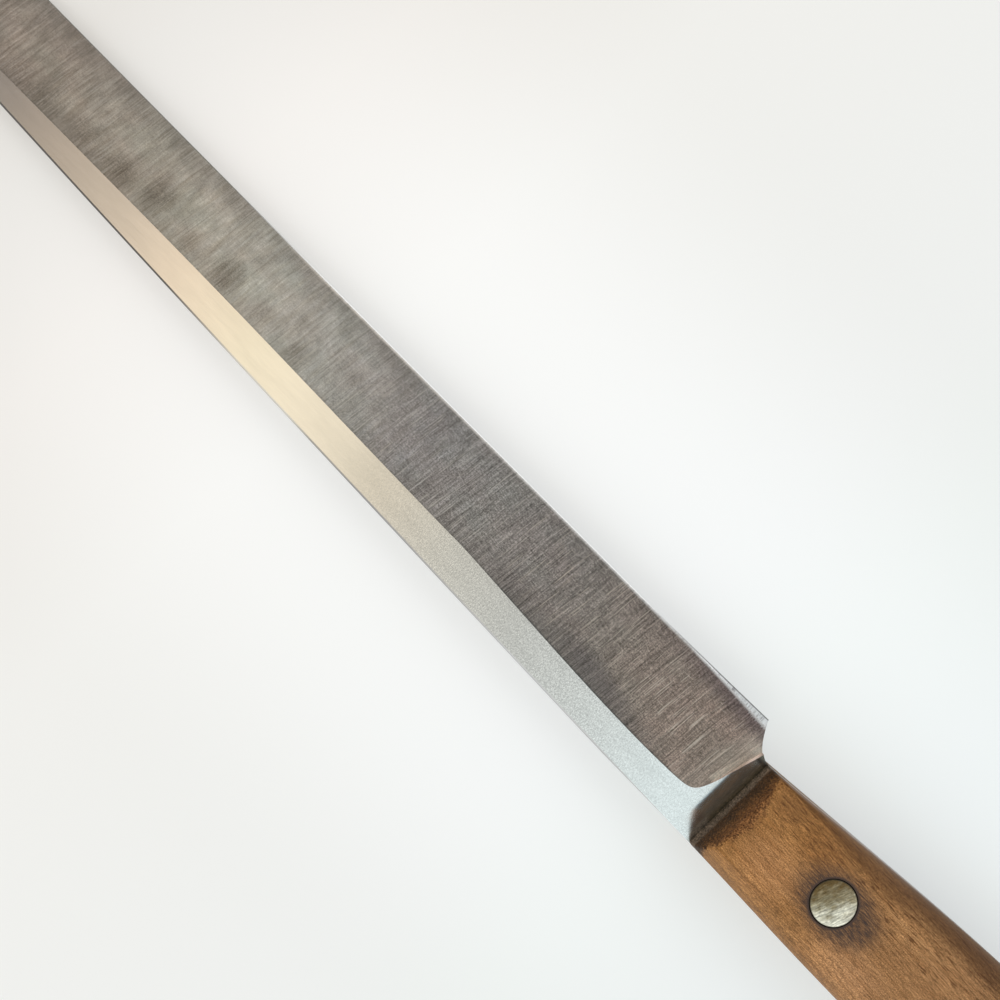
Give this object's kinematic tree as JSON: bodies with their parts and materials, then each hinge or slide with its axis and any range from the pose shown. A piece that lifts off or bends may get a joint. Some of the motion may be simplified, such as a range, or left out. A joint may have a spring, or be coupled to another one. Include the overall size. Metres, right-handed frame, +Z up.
{
  "type": "slicing knife",
  "caption": "Long slicing knife with a ground steel blade, a full tang and riveted walnut scales.",
  "frame": {"origin": "middle of the underside of the knife lying on its side", "axes": "+X along the blade to the point, +Y towards the back of the blade, +Z up through the thickness"},
  "size_m": [0.381, 0.0274, 0.018],
  "materials": {
    "steel": "satin flats, crosswise ground facets",
    "walnut": "oiled",
    "rivet_metal": "ground flush, fine scratches"
  },
  "bodies": {
    "root": {"blade": "steel", "right_scale": "walnut", "left_scale": "walnut", "front_rivet_pin": "rivet_metal", "front_rivet_tube": "rivet_metal", "middle_rivet_pin": "rivet_metal", "middle_rivet_tube": "rivet_metal", "rear_rivet_pin": "rivet_metal", "rear_rivet_tube": "rivet_metal"}
  },
  "joints": []
}
